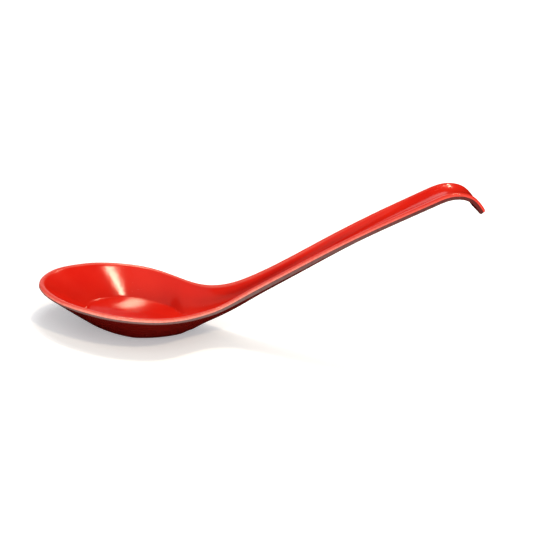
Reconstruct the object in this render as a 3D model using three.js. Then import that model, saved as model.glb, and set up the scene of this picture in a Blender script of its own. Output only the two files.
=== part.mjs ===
// Two-tone moulded soup ladle spoon: a red liner bonded into a black outer shell.
// Millimetres. +X runs from the bowl towards the hook, +Z is up, the flat foot lies on Z = 0
// and the origin is the middle of the foot. The spoon is symmetric about Y = 0.
import * as THREE from 'three';

// ---- driving dimensions -------------------------------------------------------------------

const TIP_X = -48.6;
const END_X = 173.2;

// Height of the rim's top over X: a level bowl, the neck, a straight handle and the hook.
const RIM_HEIGHT = [
  [TIP_X, 17.3], [-28.5, 17.8], [-3, 18], [17.6, 17.8], [30, 17.4], [37.8, 18.1],
  [47.3, 21.5], [56.5, 27], [69.8, 36.2], [96.3, 55.9], [123.1, 74.4], [141, 85.9],
  [150.2, 91], [155, 92.1], [160.2, 92], [165.7, 90], [END_X, 83.5],
];

// Half width of the outline over X. The tip is round, so it is splined over the square root
// of the distance from the tip.
const HALF_WIDTH = [
  [TIP_X, 0], [-44.6, 12.4], [-38.6, 19.6], [-28.5, 26], [-18.3, 30.2], [-3.5, 32.1],
  [12.4, 29.6], [22.8, 24.4], [32.9, 17.7], [42.7, 12.4], [51.9, 8.7], [61, 7.1],
  [69.8, 6.6], [96.3, 6.9], [123.1, 7.7], [155, 8.2], [END_X, 8],
];
const END_CORNER = 3.3;

// The bowl's flat floor inside and the flat foot outside are ovals about the origin. A power
// of 2 is an ellipse and less is a more pointed oval. The keel is the X at which the centre
// line starts to rise from the flat.
const FLOOR_HEIGHT = 5.4;
const FLOOR_OVAL = { front: 23.3, back: 28.5, side: 17.2, power: 1.8, keel: 28.5 };
const FOOT_OVAL = { front: 23, back: 32.5, side: 17.2, power: 1.6, keel: 30.5 };
const FLOOR_FILLET = 0.8;
const FOOT_FILLET = 0.8;

// Depth of the centre line below the rim, behind the floor and behind the foot.
const INNER_KEEL = [
  [38, 9.3], [47, 7.2], [56.5, 5.7], [70, 4.7], [97, 3.6], [125, 2.2], [150, 1.1], [END_X, 0.4],
];
const OUTER_KEEL = [
  [38, 12.6], [47, 9.6], [56.5, 7.8], [70, 7], [97, 6.1], [125, 4.5], [150, 3.8], [END_X, 3.5],
];
// Fullness of the wall curve: 1 is a straight slope, more is a rounder, fuller wall.
const INNER_FULLNESS = [[-12.6, 1.06], [5, 1.15], [30, 1.5], [42, 2.3], [END_X, 2]];
const OUTER_FULLNESS = [[-12.6, 1.05], [5, 1.8], [24, 1.5], [42, 2.3], [END_X, 2]];

// The liner shows as a band this high round the rim, and the shell as the band below it.
const LINER_BAND = 1.4;
const SHELL_BAND = [
  [TIP_X, 0.4], [-30, 0.9], [0, 0.8], [20, 0.95], [38, 1.3], [48, 1.5], [58, 1.8], [104, 1.85],
  [125, 2], [END_X, 1.8],
];
const LINER_THICKNESS = 1.3;
const RIM_LAND = 2.2;
const LINER_STEP = 1.65;
const RIM_ROUND = 0.9;
const LAND_ROUND = 0.9;
const BELLY_ROUND = 0.5;

// How far before and after the back of an oval the wall's fall eases over to the keel's.
const OVAL_EASE = 8;
const KEEL_EASE = 3;

// The walls hang straight down from the rim in the bowl and square to it along the handle.
const TURN_START = 32;
const TURN_END = 62;

// Sections run square to the centre line, and fan out round the tip and round the end.
const FAN_REACH = 36;
const FAN_LENGTH = 80;
const END_FAN_REACH = 8;

// Number of sections from the previous X up to each X: bowl, neck, handle and hook.
const SECTION_RUNS = [[32, 30], [62, 7], [140, 5], [END_X, 9]];
const CORNER_SECTIONS = 3;
const END_SECTIONS = 2;
const RIM_RINGS = [0, 0.12, 0.4, 0.9, 1.75, 2.2, 2.75];
const WALL_RINGS = 5;
const FILLET_RINGS = 3;
const FLOOR_RINGS = 3;

// ---- curves -------------------------------------------------------------------------------

function splineThrough(points) {
  const n = points.length;
  const second = new Array(n).fill(0);
  const sweep = new Array(n).fill(0);
  for (let i = 1; i < n - 1; i += 1) {
    const before = points[i][0] - points[i - 1][0];
    const after = points[i + 1][0] - points[i][0];
    const share = before / (before + after);
    const pivot = share * second[i - 1] + 2;
    const bend = (points[i + 1][1] - points[i][1]) / after - (points[i][1] - points[i - 1][1]) / before;
    second[i] = (share - 1) / pivot;
    sweep[i] = ((6 * bend) / (before + after) - share * sweep[i - 1]) / pivot;
  }
  second[n - 1] = 0;
  for (let i = n - 2; i >= 0; i -= 1) {
    second[i] = second[i] * second[i + 1] + sweep[i];
  }
  return (at) => {
    const x = THREE.MathUtils.clamp(at, points[0][0], points[n - 1][0]);
    let i = 0;
    while (i < n - 2 && x > points[i + 1][0]) {
      i += 1;
    }
    const width = points[i + 1][0] - points[i][0];
    const a = (points[i + 1][0] - x) / width;
    const b = 1 - a;
    const bend = (a * a * a - a) * second[i] + (b * b * b - b) * second[i + 1];
    return a * points[i][1] + b * points[i + 1][1] + (bend * width * width) / 6;
  };
}

function linearThrough(points) {
  return (at) => {
    const x = THREE.MathUtils.clamp(at, points[0][0], points[points.length - 1][0]);
    let i = 0;
    while (i < points.length - 2 && x > points[i + 1][0]) {
      i += 1;
    }
    return THREE.MathUtils.mapLinear(x, points[i][0], points[i + 1][0], points[i][1], points[i + 1][1]);
  };
}

// The larger of two values, with the corner between them rounded over the given reach.
function roundedMax(a, b, reach) {
  const near = Math.max(reach - Math.abs(a - b), 0) / reach;
  return Math.max(a, b) + (near * near * reach) / 4;
}

// How far a rounded edge of the given radius falls back at a distance in from the side.
function edgeDrop(distance, radius) {
  const left = Math.max(radius - distance, 0);
  return radius - Math.sqrt(radius * radius - left * left);
}

const rimHeight = splineThrough(RIM_HEIGHT);
const widthOverRoot = splineThrough(HALF_WIDTH.map(([x, y]) => [Math.sqrt(x - TIP_X), y]));
const shellBand = linearThrough(SHELL_BAND);

function halfWidth(x) {
  return widthOverRoot(Math.sqrt(Math.max(x - TIP_X, 0)));
}

// A point at a depth below the rim's top, in the section through x.
function belowRim(x, y, depth) {
  const slopeStep = 0.05;
  const low = Math.max(x - slopeStep, TIP_X);
  const high = Math.min(x + slopeStep, END_X);
  const slope = (rimHeight(high) - rimHeight(low)) / (high - low);
  const turn = THREE.MathUtils.smoothstep(x, TURN_START, TURN_END);
  const along = Math.hypot(1, slope);
  const up = new THREE.Vector2((-slope / along) * turn, 1 - turn + turn / along).normalize();
  return new THREE.Vector3(x - depth * up.x, y, rimHeight(x) - depth * up.y);
}

// ---- outline and sections -----------------------------------------------------------------

// X against distance along the rim, by which the sections are spaced.
function rimStations(count) {
  const stations = [];
  let length = 0;
  let last = null;
  for (let i = 0; i <= count; i += 1) {
    const x = TIP_X + (END_X - TIP_X) * (i / count) ** 2;
    const point = new THREE.Vector3(x, halfWidth(x), rimHeight(x));
    length += last ? point.distanceTo(last) : 0;
    stations.push([length, x]);
    last = point;
  }
  return stations;
}

// Outline of one side, from the tip round to the middle of the hook's end.
function sideOutline() {
  const stations = rimStations(2000);
  const xAtLength = linearThrough(stations);
  const lengthAtX = linearThrough(stations.map(([length, x]) => [x, length]));
  const total = lengthAtX(END_X);
  const outline = [[TIP_X, 0]];
  let from = 0;
  for (const [untilX, count] of SECTION_RUNS) {
    const to = Math.min(lengthAtX(untilX), total - END_CORNER);
    for (let i = 1; i <= count; i += 1) {
      const x = xAtLength(from + (to - from) * (i / count));
      outline.push([x, halfWidth(x)]);
    }
    from = to;
  }
  const endWidth = halfWidth(END_X);
  for (let i = 1; i <= CORNER_SECTIONS; i += 1) {
    const turn = (i / CORNER_SECTIONS) * (Math.PI / 2);
    const x = i === CORNER_SECTIONS ? END_X : xAtLength(total - END_CORNER * (1 - Math.sin(turn)));
    outline.push([x, endWidth - END_CORNER * (1 - Math.cos(turn))]);
  }
  for (let i = 1; i <= END_SECTIONS; i += 1) {
    outline.push([END_X, (endWidth - END_CORNER) * (1 - i / END_SECTIONS)]);
  }
  return outline;
}

// Where the section that starts at an outline point meets the centre line.
function spineX(x) {
  const fan = Math.max(1 - (x - TIP_X) / FAN_LENGTH, 0);
  return Math.min(x + FAN_REACH * fan * fan, END_X - END_FAN_REACH);
}

// The distance between two others at which a test stops being true.
function crossing(from, to, holds) {
  let low = from;
  let high = to;
  for (let i = 0; i < 40; i += 1) {
    const middle = (low + high) / 2;
    if (holds(middle)) {
      low = middle;
    } else {
      high = middle;
    }
  }
  return high;
}

// Distances in from the outline of one section's points: close together over the rim, spread
// over the wall, close together in the fillet at the floor's edge, spread over the floor.
function ringDistances(length, floor, fillet, wallPoint) {
  const inset = RIM_RINGS[RIM_RINGS.length - 1];
  const reach = (height) => {
    const deepEnough = wallPoint(length).z < height;
    return deepEnough ? crossing(inset, length, (at) => wallPoint(at).z > height) : length;
  };
  const filletStart = reach(floor + fillet);
  const filletEnd = reach(floor - fillet);
  const distances = [...RIM_RINGS];
  const spread = (from, to, count) => {
    for (let k = 1; k <= count; k += 1) {
      distances.push(from + (to - from) * (k / count));
    }
  };
  spread(inset, filletStart, WALL_RINGS);
  spread(filletStart, filletEnd, FILLET_RINGS);
  spread(filletEnd, length, FLOOR_RINGS);
  return distances;
}

function insideOval(oval, x, y) {
  const along = Math.abs(x) / (x < 0 ? oval.front : oval.back);
  return along ** oval.power + (Math.abs(y) / oval.side) ** oval.power < 1;
}

// One surface of the spoon: points on every section, from the outline to the centre line.
// It leaves the rim at its step, falls as a wall to the edge of the oval, and is flat inside
// it. Behind the oval the wall falls to the keel instead.
function surface(outline, { step, start, keel, fullness, floor, oval, fillet, rounding }) {
  const keelDepth = splineThrough([[oval.keel, rimHeight(oval.keel) - floor], ...keel]);
  return outline.map(([x0, y0]) => {
    const spine = spineX(x0);
    const length = Math.hypot(spine - x0, y0);
    const full = fullness(spine);
    const plan = (distance) => {
      const share = distance / length;
      return [x0 + (spine - x0) * share, y0 * (1 - share)];
    };
    const fallen = (distance) => {
      const past = roundedMax(distance - step, 0, LAND_ROUND) / (length - step);
      return 1 - (1 - Math.min(past, 1)) ** full;
    };
    const lead = start(x0);
    const edge = crossing(0, length, (distance) => !insideOval(oval, ...plan(distance)));
    const toFloor = (rimHeight(plan(edge)[0]) - floor - lead) / fallen(edge);
    const ontoKeel = THREE.MathUtils.smoothstep(spine, oval.back - OVAL_EASE, oval.back + KEEL_EASE);
    const drop = THREE.MathUtils.lerp(toFloor, keelDepth(spine) - lead, ontoKeel);
    const lowest = spine < TURN_START ? floor : -Infinity;
    const wallPoint = (distance) => {
      const [x, y] = plan(distance);
      return belowRim(x, y, lead + drop * fallen(distance) + rounding(distance));
    };
    return ringDistances(length, lowest, fillet, wallPoint).map((distance) => {
      const point = wallPoint(distance);
      point.z = roundedMax(point.z, lowest, fillet);
      return point;
    });
  });
}

const outline = sideOutline();

const innerSurface = surface(outline, {
  step: RIM_LAND,
  start: () => 0,
  keel: INNER_KEEL,
  fullness: linearThrough(INNER_FULLNESS),
  floor: FLOOR_HEIGHT,
  oval: FLOOR_OVAL,
  fillet: FLOOR_FILLET,
  rounding: (distance) => edgeDrop(distance, RIM_ROUND),
});

const bondSurface = surface(outline, {
  step: LINER_STEP,
  start: () => LINER_BAND,
  keel: INNER_KEEL.map(([x, depth]) => [x, depth + LINER_THICKNESS]),
  fullness: linearThrough(INNER_FULLNESS),
  floor: FLOOR_HEIGHT - LINER_THICKNESS,
  oval: FLOOR_OVAL,
  fillet: FLOOR_FILLET,
  rounding: () => 0,
});

const outerSurface = surface(outline, {
  step: 0,
  start: (x) => LINER_BAND + shellBand(x),
  keel: OUTER_KEEL,
  fullness: linearThrough(OUTER_FULLNESS),
  floor: 0,
  oval: FOOT_OVAL,
  fillet: FOOT_FILLET,
  rounding: (distance) => -edgeDrop(distance, BELLY_ROUND),
});

// ---- closed bodies ------------------------------------------------------------------------

// A closed body between an upper and a lower surface that share the outline's sections.
function bodyBetween(upper, lower) {
  const positions = [];
  const mirrored = (point) => new THREE.Vector3(point.x, -point.y, point.z);
  const addTriangle = (a, b, c) => {
    const area = new THREE.Triangle(a, b, c).getArea();
    if (area > 1e-6) {
      positions.push(...a.toArray(), ...b.toArray(), ...c.toArray());
      const [ma, mb, mc] = [mirrored(a), mirrored(b), mirrored(c)];
      positions.push(...ma.toArray(), ...mc.toArray(), ...mb.toArray());
    }
  };
  const addQuad = (a, b, c, d) => {
    if (a.distanceTo(c) <= b.distanceTo(d)) {
      addTriangle(a, b, c);
      addTriangle(a, c, d);
    } else {
      addTriangle(a, b, d);
      addTriangle(b, c, d);
    }
  };
  for (let i = 0; i < upper.length - 1; i += 1) {
    for (let k = 0; k < upper[i].length - 1; k += 1) {
      addQuad(upper[i][k], upper[i][k + 1], upper[i + 1][k + 1], upper[i + 1][k]);
      addQuad(lower[i][k], lower[i + 1][k], lower[i + 1][k + 1], lower[i][k + 1]);
    }
    addQuad(upper[i][0], upper[i + 1][0], lower[i + 1][0], lower[i][0]);
  }
  const geometry = new THREE.BufferGeometry();
  geometry.setAttribute('position', new THREE.Float32BufferAttribute(positions, 3));
  geometry.computeVertexNormals();
  return geometry;
}

function piece(name, geometry, color, roughness) {
  const material = new THREE.MeshStandardMaterial({ color, roughness, metalness: 0 });
  const mesh = new THREE.Mesh(geometry, material);
  mesh.name = name;
  return mesh;
}

const spoon = new THREE.Group();
spoon.name = 'ladle_spoon';
spoon.add(piece('red_liner', bodyBetween(innerSurface, bondSurface), 0xe23a2b, 0.22));
spoon.add(piece('black_shell', bodyBetween(bondSurface, outerSurface), 0x241616, 0.28));

export default spoon;
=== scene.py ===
"""Looks of a two-tone moulded soup ladle spoon: a glossy red liner bonded into a black shell.

Dimensions are in millimetres until a mesh is made. The frame is the CAD's: +X from the bowl to
the hook, +Z up, the flat foot on Z = 0 with the origin at its middle, symmetric about Y = 0.
"""

import math

import bmesh
import bpy
import numpy as np
from mathutils import Matrix, Vector


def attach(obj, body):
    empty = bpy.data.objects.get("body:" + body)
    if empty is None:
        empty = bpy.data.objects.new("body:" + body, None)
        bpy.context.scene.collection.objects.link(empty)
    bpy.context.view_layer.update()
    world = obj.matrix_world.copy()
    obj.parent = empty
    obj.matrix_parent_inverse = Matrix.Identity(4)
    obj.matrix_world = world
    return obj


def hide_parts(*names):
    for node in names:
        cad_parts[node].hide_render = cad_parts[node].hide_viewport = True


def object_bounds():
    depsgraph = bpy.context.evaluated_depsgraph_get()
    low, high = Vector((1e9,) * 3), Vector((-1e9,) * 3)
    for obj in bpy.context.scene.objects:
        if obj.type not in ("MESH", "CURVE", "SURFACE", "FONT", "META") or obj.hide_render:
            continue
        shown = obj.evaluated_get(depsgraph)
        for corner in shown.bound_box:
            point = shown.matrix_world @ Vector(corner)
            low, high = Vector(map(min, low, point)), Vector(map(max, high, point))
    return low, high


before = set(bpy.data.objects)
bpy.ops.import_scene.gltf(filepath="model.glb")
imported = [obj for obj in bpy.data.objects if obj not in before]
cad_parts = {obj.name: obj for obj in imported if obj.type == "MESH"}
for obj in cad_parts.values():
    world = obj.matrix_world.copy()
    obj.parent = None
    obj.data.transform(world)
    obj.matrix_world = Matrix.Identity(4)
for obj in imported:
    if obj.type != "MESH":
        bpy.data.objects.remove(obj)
cad_box = [list(corner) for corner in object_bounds()]

MM = 0.001

# ---- the spoon's dimensions, the same as the CAD's -----------------------------------------

TIP_X = -48.6
END_X = 173.2

# Height of the rim's top over X: a level bowl, the neck, a straight handle and the hook.
RIM_HEIGHT = [
    (TIP_X, 17.3), (-28.5, 17.8), (-3, 18), (17.6, 17.8), (30, 17.4), (37.8, 18.1),
    (47.3, 21.5), (56.5, 27), (69.8, 36.2), (96.3, 55.9), (123.1, 74.4), (141, 85.9),
    (150.2, 91), (155, 92.1), (160.2, 92), (165.7, 90), (END_X, 83.5),
]

# Half width of the outline over X. The tip is round, so it is splined over the square root of
# the distance from the tip.
HALF_WIDTH = [
    (TIP_X, 0), (-44.6, 12.4), (-38.6, 19.6), (-28.5, 26), (-18.3, 30.2), (-3.5, 32.1),
    (12.4, 29.6), (22.8, 24.4), (32.9, 17.7), (42.7, 12.4), (51.9, 8.7), (61, 7.1),
    (69.8, 6.6), (96.3, 6.9), (123.1, 7.7), (155, 8.2), (END_X, 8),
]
END_CORNER = 3.3

# The bowl's flat floor inside and the flat foot outside are ovals about the origin. A power of
# 2 is an ellipse and less is a more pointed oval. The keel is the X at which the centre line
# starts to rise from the flat.
FLOOR_HEIGHT = 5.4
FLOOR_OVAL = dict(front=23.3, back=28.5, side=17.2, power=1.8, keel=28.5)
FOOT_OVAL = dict(front=23, back=32.5, side=17.2, power=1.6, keel=30.5)
FLOOR_FILLET = 0.8
FOOT_FILLET = 0.8

# Depth of the centre line below the rim, behind the floor and behind the foot.
INNER_KEEL = [
    (38, 9.3), (47, 7.2), (56.5, 5.7), (70, 4.7), (97, 3.6), (125, 2.2), (150, 1.1), (END_X, 0.4),
]
OUTER_KEEL = [
    (38, 12.6), (47, 9.6), (56.5, 7.8), (70, 7), (97, 6.1), (125, 4.5), (150, 3.8), (END_X, 3.5),
]

# Fullness of the wall curve: 1 is a straight slope, more is a rounder, fuller wall.
INNER_FULLNESS = [(-12.6, 1.06), (5, 1.15), (30, 1.5), (42, 2.3), (END_X, 2)]
OUTER_FULLNESS = [(-12.6, 1.05), (5, 1.8), (24, 1.5), (42, 2.3), (END_X, 2)]

# The liner shows as a band this high round the rim, and the shell as the band below it.
LINER_BAND = 1.4
SHELL_BAND = [
    (TIP_X, 0.4), (-30, 0.9), (0, 0.8), (20, 0.95), (38, 1.3), (48, 1.5), (58, 1.8), (104, 1.85),
    (125, 2), (END_X, 1.8),
]
LINER_THICKNESS = 1.3
RIM_LAND = 2.2
LINER_STEP = 1.65
RIM_ROUND = 0.9
LAND_ROUND = 0.9
BELLY_ROUND = 0.5

# How far before and after the back of an oval the wall's fall eases over to the keel's.
OVAL_EASE = 8
KEEL_EASE = 3

# The walls hang straight down from the rim in the bowl and square to it along the handle.
TURN_START = 32
TURN_END = 62

# Sections run square to the centre line, and fan out round the tip and round the end.
FAN_REACH = 36
FAN_LENGTH = 80
END_FAN_REACH = 8

# The two layers meet at a fine groove round the rim, and their edges are rounded this much.
LINER_SEAM_ROUND = 0.12
SHELL_SEAM_ROUND = 0.3

# The edge where the moulding flash was buffed off is paler. The top of the lip is a little paler,
# and its rounded edges paler still, from painted highlight. The shell's side band is greyer from
# painted reflection.
# The values give how much at each distance in from the outline, negative on an underside, and how
# much of that over X.
BUFFED_AND_SHEEN_INWARD = [
    (-0.3, 0), (-0.1, 0.6), (0, 1), (0.12, 0.75), (0.4, 0.36), (1.1, 0.15), (2, 0.32), (2.75, 0),
]
BUFFED_AND_SHEEN_ALONG = [(TIP_X, 0.5), (-25, 1), (45, 1), (65, 0.75), (95, 0.6), (145, 0.25), (END_X, 0.12)]

# Number of sections from the previous X up to each X, then round the hook's corner and end.
SECTION_RUNS = [(32, 170), (62, 40), (140, 60), (END_X, 60)]
CORNER_SECTIONS = 12
END_SECTIONS = 8

# Where the rings over the rim lie, in from the outline, and the number of rings further in.
RIM_RINGS = [
    0, 0.02, 0.06, 0.12, 0.2, 0.3, 0.42, 0.56, 0.72, 0.9, 1.15, 1.4, 1.6, 1.8, 2, 2.2, 2.45, 2.75,
]
WALL_RINGS = 20
FILLET_RINGS = 8
FLOOR_RINGS = 8
SIDE_RINGS = 6

# Fineness of the working: the step a slope is taken over, the points the rim is measured at, and
# how often a search halves its range. A section with no floor has one far below the spoon.
SLOPE_STEP = 0.05
RIM_STATIONS = 4001
HALVINGS = 40
NO_FLOOR = -1000

# These outlines have more points than the CAD's and so bulge a little further. This scale keeps
# them inside its box.
FIT = 0.9997

# Points closer than this, in metres, are one point.
MERGE_DISTANCE = 2e-6
SHORTEST_EDGE = 1e-6


def spline_through(points):
    """Natural cubic spline through (x, y) points, held at its end values outside them."""
    x, y = np.array(points, float).T
    width = np.diff(x)
    system = np.eye(len(x))
    bends = np.zeros(len(x))
    for i in range(1, len(x) - 1):
        system[i, i - 1:i + 2] = width[i - 1], 2 * (width[i - 1] + width[i]), width[i]
        bends[i] = 6 * ((y[i + 1] - y[i]) / width[i] - (y[i] - y[i - 1]) / width[i - 1])
    second = np.linalg.solve(system, bends)

    def value(at):
        at = np.clip(at, x[0], x[-1])
        i = np.clip(np.searchsorted(x, at) - 1, 0, len(x) - 2)
        a = (x[i + 1] - at) / width[i]
        b = 1 - a
        bend = (a ** 3 - a) * second[i] + (b ** 3 - b) * second[i + 1]
        return a * y[i] + b * y[i + 1] + bend * width[i] ** 2 / 6

    return value


def linear_through(points):
    """Straight lines through (x, y) points, held at the end values outside them."""
    x, y = np.array(points, float).T
    return lambda at: np.interp(at, x, y)


def rounded_max(a, b, reach):
    """The larger of two values, with the corner between them rounded over the given reach."""
    near = np.maximum(reach - np.abs(a - b), 0) / reach
    return np.maximum(a, b) + near * near * reach / 4


def edge_drop(distance, radius):
    """How far a rounded edge falls back at a distance in from the side."""
    left = np.maximum(radius - distance, 0)
    return radius - np.sqrt(radius * radius - left * left)


def smoothstep(x, start, end):
    """0 before the start, 1 after the end, and a smooth rise between them."""
    t = np.clip((x - start) / (end - start), 0, 1)
    return t * t * (3 - 2 * t)


rim_height = spline_through(RIM_HEIGHT)
width_over_root = spline_through([(math.sqrt(x - TIP_X), y) for x, y in HALF_WIDTH])
shell_band = linear_through(SHELL_BAND)


def half_width(x):
    """Half width of the outline at X."""
    return width_over_root(np.sqrt(np.maximum(x - TIP_X, 0)))


def below_rim(x, y, depth):
    """Points at a depth below the rim's top, in the sections through x."""
    low = np.maximum(x - SLOPE_STEP, TIP_X)
    high = np.minimum(x + SLOPE_STEP, END_X)
    slope = (rim_height(high) - rim_height(low)) / (high - low)
    turn = smoothstep(x, TURN_START, TURN_END)
    along = np.hypot(1, slope)
    up_x = -slope / along * turn
    up_z = 1 - turn + turn / along
    size = np.hypot(up_x, up_z)
    return np.stack([x - depth * up_x / size, y, rim_height(x) - depth * up_z / size], -1)


def side_outline():
    """One side's outline, from the tip round to the middle of the hook's end."""
    x = TIP_X + (END_X - TIP_X) * np.linspace(0, 1, RIM_STATIONS) ** 2
    path = np.stack([x, half_width(x), rim_height(x)], 1)
    lengths = np.r_[0, np.cumsum(np.linalg.norm(np.diff(path, axis=0), axis=1))]
    total = lengths[-1]
    outline = [(TIP_X, 0.0)]
    start = 0
    for until_x, count in SECTION_RUNS:
        end = min(np.interp(until_x, x, lengths), total - END_CORNER)
        at = np.interp(start + (end - start) * np.arange(1, count + 1) / count, lengths, x)
        outline += list(zip(at, half_width(at)))
        start = end
    end_width = float(half_width(END_X))
    for i in range(1, CORNER_SECTIONS + 1):
        turn = i / CORNER_SECTIONS * math.pi / 2
        at = np.interp(total - END_CORNER * (1 - math.sin(turn)), lengths, x)
        outline.append((min(at, END_X), end_width - END_CORNER * (1 - math.cos(turn))))
    for i in range(1, END_SECTIONS + 1):
        outline.append((END_X, (end_width - END_CORNER) * (1 - i / END_SECTIONS)))
    return np.array(outline).T


def spine_x(x):
    """Where the section that starts at an outline point meets the centre line."""
    fan = np.maximum(1 - (x - TIP_X) / FAN_LENGTH, 0)
    return np.minimum(x + FAN_REACH * fan * fan, END_X - END_FAN_REACH)


def inside_oval(oval, x, y):
    """Whether points lie inside an oval about the origin."""
    along = np.abs(x) / np.where(x < 0, oval["front"], oval["back"])
    return along ** oval["power"] + (np.abs(y) / oval["side"]) ** oval["power"] < 1


def crossing(start, end, holds):
    """The distances between two others at which a test stops being true."""
    low, high = start.copy(), end.copy()
    for _ in range(HALVINGS):
        middle = (low + high) / 2
        still = holds(middle)
        low = np.where(still, middle, low)
        high = np.where(still, high, middle)
    return high


def surface(outline, step, start, keel, fullness, floor, oval, fillet, rounding):
    """Points on every section, from the outline to the centre line, shape (section, ring, 3).

    The surface leaves the rim at its step, falls as a wall to the edge of the oval, and is flat
    inside it. Behind the oval the wall falls to the keel instead.
    """
    x0, y0 = outline
    back = oval["back"]
    keel_start = oval["keel"]
    keel_depth = spline_through([(keel_start, float(rim_height(keel_start)) - floor), *keel])
    spine = spine_x(x0)
    length = np.hypot(spine - x0, y0)
    full = linear_through(fullness)(spine)

    def plan(distance):
        share = distance / length
        return x0 + (spine - x0) * share, y0 * (1 - share)

    def fallen(distance):
        past = rounded_max(distance - step, 0, LAND_ROUND) / (length - step)
        return 1 - (1 - np.minimum(past, 1)) ** full

    lead = start(x0)
    edge = crossing(0 * length, length, lambda at: ~inside_oval(oval, *plan(at)))
    to_floor = (rim_height(plan(edge)[0]) - floor - lead) / fallen(edge)
    onto_keel = smoothstep(spine, back - OVAL_EASE, back + KEEL_EASE)
    drop = to_floor + (keel_depth(spine) - lead - to_floor) * onto_keel
    lowest = np.where(spine < TURN_START, floor, NO_FLOOR)

    def wall_point(distance):
        x, y = plan(distance)
        return below_rim(x, y, lead + drop * fallen(distance) + rounding(distance))

    inset = np.full_like(length, RIM_RINGS[-1])

    def reach(height):
        found = crossing(inset, length, lambda at: wall_point(at)[:, 2] > height)
        return np.where(wall_point(length)[:, 2] < height, found, length)

    fillet_start = reach(lowest + fillet)
    fillet_end = reach(lowest - fillet)
    distances = [np.full_like(length, ring) for ring in RIM_RINGS]
    for low, high, count in (
        (inset, fillet_start, WALL_RINGS),
        (fillet_start, fillet_end, FILLET_RINGS),
        (fillet_end, length, FLOOR_RINGS),
    ):
        distances += [low + (high - low) * k / count for k in range(1, count + 1)]
    points = np.stack([wall_point(distance) for distance in distances], 1)
    points[..., 2] = rounded_max(points[..., 2], lowest[:, None], fillet)
    return points


outline = side_outline()
inner = surface(
    outline, RIM_LAND, lambda x: 0 * x, INNER_KEEL, INNER_FULLNESS, FLOOR_HEIGHT, FLOOR_OVAL,
    FLOOR_FILLET, lambda distance: edge_drop(distance, RIM_ROUND),
)
bond_keel = [(x, depth + LINER_THICKNESS) for x, depth in INNER_KEEL]


def bond(rounding):
    """The surface between the liner and the shell, with its edge at the rim rounded."""
    return surface(
        outline, LINER_STEP, lambda x: 0 * x + LINER_BAND, bond_keel, INNER_FULLNESS,
        FLOOR_HEIGHT - LINER_THICKNESS, FLOOR_OVAL, FLOOR_FILLET, rounding,
    )


liner_under = bond(lambda distance: -edge_drop(distance, LINER_SEAM_ROUND))
shell_top = bond(lambda distance: edge_drop(distance, SHELL_SEAM_ROUND))
outer = surface(
    outline, 0, lambda x: LINER_BAND + shell_band(x), OUTER_KEEL, OUTER_FULLNESS, 0, FOOT_OVAL,
    FOOT_FILLET, lambda distance: -edge_drop(distance, BELLY_ROUND),
)


def layer_object(name, upper, lower, material):
    """A closed mesh between an upper and a lower surface that share the outline's sections."""
    levels = np.arange(1, SIDE_RINGS)[:, None] / SIDE_RINGS
    side = upper[:, :1] + (lower[:, :1] - upper[:, :1]) * levels
    ring_of_points = np.concatenate([upper[:, ::-1], side, lower], 1)
    sections, around = ring_of_points.shape[:2]
    points = ring_of_points.reshape(-1, 3)
    points = np.concatenate([points, points * [1, -1, 1]]) * MM * FIT
    first, ring = np.meshgrid(np.arange(sections - 1), np.arange(around - 1), indexing="ij")
    corner = (first * around + ring).ravel()
    faces = np.stack([corner, corner + 1, corner + around + 1, corner + around], 1)
    faces = np.concatenate([faces, sections * around + faces[:, ::-1]])
    mesh = bpy.data.meshes.new(name)
    mesh.from_pydata(points.tolist(), [], faces.tolist())
    # Per point: how pale the buffed edge is, together with the painted highlight on the lip and
    # the painted reflection on the shell's side band.
    mark = mesh.attributes.new("buffed_and_sheen", "FLOAT", "POINT")
    inset = np.r_[RIM_RINGS, np.full(upper.shape[1] - len(RIM_RINGS), RIM_RINGS[-1])]
    inset = np.r_[inset[::-1], np.zeros(SIDE_RINGS - 1), -inset]
    along = linear_through(BUFFED_AND_SHEEN_ALONG)(ring_of_points[..., 0])
    amount = linear_through(BUFFED_AND_SHEEN_INWARD)(inset) * along
    mark.data.foreach_set("value", np.tile(amount.ravel(), 2).astype(np.float32))
    work = bmesh.new()
    work.from_mesh(mesh)
    bmesh.ops.remove_doubles(work, verts=work.verts, dist=MERGE_DISTANCE)
    bmesh.ops.dissolve_degenerate(work, edges=work.edges, dist=SHORTEST_EDGE)
    bmesh.ops.recalc_face_normals(work, faces=work.faces)
    work.to_mesh(mesh)
    work.free()
    mesh.materials.append(material)
    mesh.shade_smooth()
    made = bpy.data.objects.new(name, mesh)
    bpy.context.scene.collection.objects.link(made)
    return made


# ---- materials -----------------------------------------------------------------------------

# Noise scales, in features per metre.
TINT_SCALE = 38
SMUDGE_SCALE = 60
RIPPLE_SCALE = 240
BREAKUP_SCALE = 700
GRAIN_SCALE = 1500

# Hairline scratches run mostly along one axis, turned this much, and dull the gloss.
SCRATCHES = [
    dict(scale=900, stretch=(1, 0.02, 1), turn=0.5, dulling=0.12),
    dict(scale=1100, stretch=(0.02, 1, 1), turn=-0.3, dulling=0.1),
]
BUFFED_AND_SHEEN_DULLING = 0.2

# Depths in metres and strengths of the bumps.
RIPPLE_DEPTH = 0.0001
RIPPLE_STRENGTH = 0.5
GRAIN_DEPTH = 0.00002
GRAIN_STRENGTH = 0.1
MELAMINE_IOR = 1.5


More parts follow.
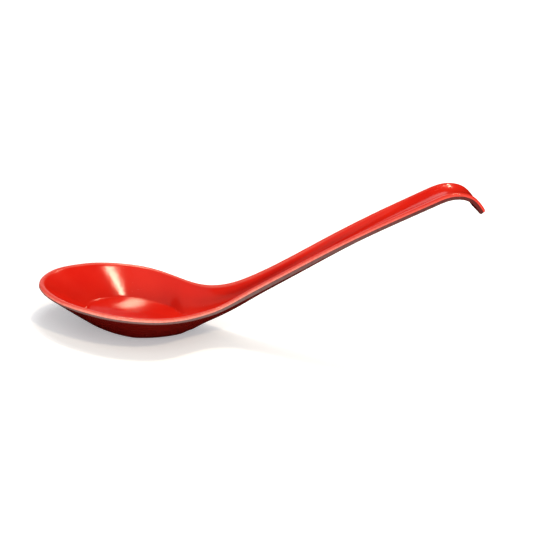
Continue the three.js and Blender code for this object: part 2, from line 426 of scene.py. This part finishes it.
class NodeTree:
    """Adds nodes to a material, each linked to what it works on."""

    def __init__(self, material):
        material.use_nodes = True
        self.nodes = material.node_tree.nodes
        self.link = material.node_tree.links.new
        self.place = self.nodes.new("ShaderNodeTexCoord").outputs["Object"]

    def attribute(self, name):
        node = self.nodes.new("ShaderNodeAttribute")
        node.attribute_name = name
        return node.outputs["Fac"]

    def noise(self, scale, detail, stretch=(1, 1, 1), turn=0):
        mapping = self.nodes.new("ShaderNodeMapping")
        mapping.inputs["Scale"].default_value = stretch
        mapping.inputs["Rotation"].default_value = (0, 0, turn)
        texture = self.nodes.new("ShaderNodeTexNoise")
        texture.inputs["Scale"].default_value = scale
        texture.inputs["Detail"].default_value = detail
        self.link(self.place, mapping.inputs["Vector"])
        self.link(mapping.outputs["Vector"], texture.inputs["Vector"])
        return texture.outputs["Fac"]

    def remap(self, value, low, high, to_low, to_high):
        node = self.nodes.new("ShaderNodeMapRange")
        node.inputs["From Min"].default_value = low
        node.inputs["From Max"].default_value = high
        node.inputs["To Min"].default_value = to_low
        node.inputs["To Max"].default_value = to_high
        self.link(value, node.inputs["Value"])
        return node.outputs["Result"]

    def combine(self, operation, a, b):
        node = self.nodes.new("ShaderNodeMath")
        node.operation = operation
        self.link(a, node.inputs[0])
        self.link(b, node.inputs[1])
        return node.outputs["Value"]

    def mix(self, factor, a, b):
        node = self.nodes.new("ShaderNodeMix")
        node.data_type = "RGBA"
        self.link(factor, node.inputs["Factor"])
        for socket, value in (("A", a), ("B", b)):
            if isinstance(value, tuple):
                node.inputs[socket].default_value = (*value, 1)
            else:
                self.link(value, node.inputs[socket])
        return node.outputs["Result"]

    def bump(self, height, strength, depth, under=None):
        node = self.nodes.new("ShaderNodeBump")
        node.inputs["Strength"].default_value = strength
        node.inputs["Distance"].default_value = depth
        self.link(height, node.inputs["Height"])
        if under:
            self.link(under, node.inputs["Normal"])
        return node.outputs["Normal"]


def melamine(name, deep, light, buffed_and_sheen, roughness, specular):
    """Glossy moulded melamine: a slow drift of tint, a rippled skin and hairline scratches."""
    material = bpy.data.materials.new(name)
    tree = NodeTree(material)
    shader = tree.nodes["Principled BSDF"]

    tint = tree.mix(tree.remap(tree.noise(TINT_SCALE, 3), 0.3, 0.7, 0, 1), deep, light)
    # The mask pales the colour. This is partly the buffed flash edge and partly painted highlight
    # on the lip and painted reflection on the shell's side band; a noise breaks it up.
    breakup = tree.remap(tree.noise(BREAKUP_SCALE, 3), 0.3, 0.6, 0.7, 1)
    worn_and_sheen = tree.combine("MULTIPLY", tree.attribute("buffed_and_sheen"), breakup)
    tree.link(tree.mix(worn_and_sheen, tint, buffed_and_sheen), shader.inputs["Base Color"])

    smudge = tree.noise(SMUDGE_SCALE, 4)
    dull = tree.remap(smudge, 0.35, 0.75, roughness * 0.9, roughness * 1.2)
    for scratch in SCRATCHES:
        lines = tree.noise(scratch["scale"], 2, scratch["stretch"], scratch["turn"])
        dull = tree.combine("ADD", dull, tree.remap(lines, 0.7, 0.78, 0, scratch["dulling"]))
    dull = tree.combine("ADD", dull, tree.remap(worn_and_sheen, 0, 1, 0, BUFFED_AND_SHEEN_DULLING))
    tree.link(dull, shader.inputs["Roughness"])

    ripple = tree.bump(tree.noise(RIPPLE_SCALE, 2), RIPPLE_STRENGTH, RIPPLE_DEPTH)
    grain = tree.bump(tree.noise(GRAIN_SCALE, 2), GRAIN_STRENGTH, GRAIN_DEPTH, ripple)
    tree.link(grain, shader.inputs["Normal"])

    shader.inputs["IOR"].default_value = MELAMINE_IOR
    shader.inputs["Specular IOR Level"].default_value = specular
    return material


red = melamine(
    "red_melamine",
    deep=(0.66, 0.010, 0.004),
    light=(0.74, 0.018, 0.007),
    # The pale pink of the buffed edge, which also serves as painted highlight along the lip.
    buffed_and_sheen=(0.95, 0.33, 0.25),
    roughness=0.16,
    specular=0.5,
)
black = melamine(
    "black_melamine",
    deep=(0.085, 0.002, 0.001),
    light=(0.110, 0.003, 0.0015),
    # The grey of the buffed edge, which also serves as painted reflection on the shell's side
    # band.
    buffed_and_sheen=(0.21, 0.135, 0.125),
    roughness=0.2,
    specular=0.4,
)

liner = layer_object("liner_red", inner, liner_under, red)
shell = layer_object("shell_black", shell_top, outer, black)
for piece, node, slot in (
    (liner, "red_liner", "red_melamine"),
    (shell, "black_shell", "black_melamine"),
):
    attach(piece, "root")
    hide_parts(node)

# ---- floor ---------------------------------------------------------------------------------

FLOOR_REACH = 20.0
FLOOR_WHITE = (0.93, 0.94, 0.96, 1)
FLOOR_ROUGHNESS = 0.9
FLOOR_GLOW = 0.3


def floor_material():
    """A matt white that glows faintly, so that shadows on it stay pale."""
    material = bpy.data.materials.new("studio_white")
    material.use_nodes = True
    shader = material.node_tree.nodes["Principled BSDF"]
    shader.inputs["Base Color"].default_value = FLOOR_WHITE
    shader.inputs["Roughness"].default_value = FLOOR_ROUGHNESS
    shader.inputs["Emission Color"].default_value = FLOOR_WHITE
    shader.inputs["Emission Strength"].default_value = FLOOR_GLOW
    return material


# The floor isn't mirrored in the spoon, whose underside would look grey with it.
floor_mesh = bpy.data.meshes.new("studio_floor")
floor_corners = [(-1, -1), (1, -1), (1, 1), (-1, 1)]
floor_mesh.from_pydata(
    [(x * FLOOR_REACH, y * FLOOR_REACH, 0) for x, y in floor_corners], [], [(0, 1, 2, 3)]
)
floor_mesh.materials.append(floor_material())
floor = bpy.data.objects.new("studio_floor", floor_mesh)
bpy.context.scene.collection.objects.link(floor)
floor.visible_glossy = False

# ---- camera --------------------------------------------------------------------------------

# It looks at a point a little to one side of the middle of the spoon's box.
AZIMUTH = math.radians(-18.3)
ELEVATION = math.radians(22.8)
ROLL = math.radians(-12.7)
DISTANCE = 0.65
LENS = 85.6
SENSOR_WIDTH = 36
CLIP_START = 0.01
CLIP_END = 50
LOOK_OFFSET = Vector((0.0025, 0, -0.00814))

low, high = (Vector(corner) for corner in cad_box)
centre = (low + high) / 2
forward = Vector(
    (-math.sin(AZIMUTH) * math.cos(ELEVATION), math.cos(AZIMUTH) * math.cos(ELEVATION),
     -math.sin(ELEVATION))
)
right = forward.cross(Vector((0, 0, 1))).normalized()
up = right.cross(forward)
roll = Matrix.Rotation(ROLL, 3, forward)
right, up = roll @ right, roll @ up
target = centre + LOOK_OFFSET

camera_data = bpy.data.cameras.new("camera")
camera_data.lens = LENS
camera_data.sensor_width = SENSOR_WIDTH
camera_data.clip_start = CLIP_START
camera_data.clip_end = CLIP_END
camera = bpy.data.objects.new("camera", camera_data)
axes = Matrix((right, up, -forward)).transposed().to_4x4()
camera.matrix_world = Matrix.Translation(target - forward * DISTANCE) @ axes
bpy.context.scene.collection.objects.link(camera)
bpy.context.scene.camera = camera


# ---- light ---------------------------------------------------------------------------------

WARM = (1, 0.82, 0.58)
CREAM = (1, 0.88, 0.74)
WHITE = (1, 1, 1)
STUDIO_DISTANCE = 3
HOOK_TOP = (0.154, 0, 0.092)
SKY_STRENGTH = 0.42


def area_light(
    name, direction, size, radiance, color, mirrored=True, aim=(0, 0, 0), distance=STUDIO_DISTANCE
):
    """A round panel in the given direction from the point it faces, in metres.

    A panel that isn't mirrored lights the spoon but doesn't show in its gloss.
    """
    data = bpy.data.lights.new(name, "AREA")
    data.shape = "DISK"
    data.size = size
    data.energy = radiance * math.pi * math.pi * size * size / 4
    data.color = color
    light = bpy.data.objects.new(name, data)
    toward = Vector(direction).normalized()
    light.location = Vector(aim) + toward * distance
    light.rotation_mode = "QUATERNION"
    light.rotation_quaternion = toward.to_track_quat("Z", "Y")
    light.visible_camera = False
    light.visible_glossy = mirrored
    bpy.context.scene.collection.objects.link(light)


# The lamps are the bright patches in the bowl and on the hook, and the fills are the soft light.
area_light("lamp_front", (0.335, -0.315, 0.89), 0.33, 64, WARM)
area_light("lamp_back", (0.13, 0.42, 0.90), 0.22, 160, WARM)
area_light("lamp_hook", (0.23, 0.63, 0.74), 0.05, 40, WARM, aim=HOOK_TOP, distance=0.5)
area_light("window_back", (-0.08, 0.96, 0.25), 2, 0.8, WHITE)
area_light("ceiling", (-0.35, -0.35, 0.87), 3, 0.4, CREAM)
area_light("fill_back", (0.0, 0.5, 0.85), 1.2, 7, WHITE, mirrored=False)
area_light("fill_front", (-0.1, -0.98, 0.18), 0.7, 32, WHITE, mirrored=False)

world = bpy.data.worlds.new("studio")
world.use_nodes = True
background = world.node_tree.nodes["Background"]
background.inputs["Color"].default_value = (*WHITE, 1)
background.inputs["Strength"].default_value = SKY_STRENGTH
bpy.context.scene.world = world
world.cycles_visibility.glossy = False
bpy.context.scene.view_settings.view_transform = "Standard"
